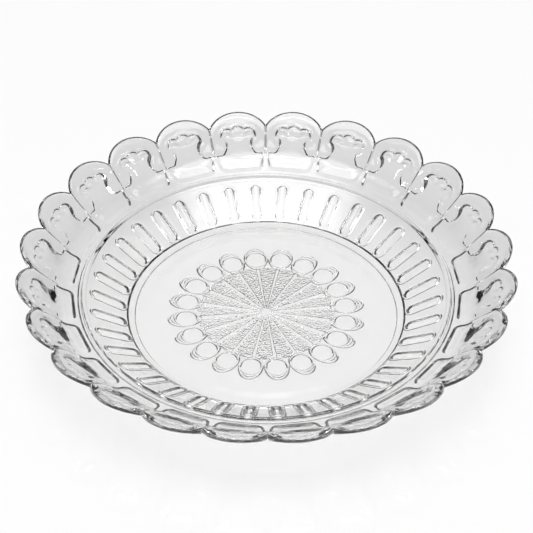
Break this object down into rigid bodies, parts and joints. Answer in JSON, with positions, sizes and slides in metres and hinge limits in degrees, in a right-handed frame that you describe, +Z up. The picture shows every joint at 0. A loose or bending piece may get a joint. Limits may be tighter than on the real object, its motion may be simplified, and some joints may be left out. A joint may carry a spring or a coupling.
{
  "type": "serving plate",
  "caption": "Round pressed-glass serving plate with a scalloped scroll rim, a fluted wall and a ring-and-sunburst medallion under its flat floor, standing on a low foot ring.",
  "frame": {"origin": "centre of the foot ring, on the plane that the plate rests on", "axes": "+Z up along the plate's axis; a notch between two scallops lies on +X and on +Y"},
  "size_m": [0.277, 0.277, 0.0415],
  "materials": {
    "glass": "clear, fire-polished"
  },
  "bodies": {
    "root": {"plate": "glass"}
  },
  "joints": []
}
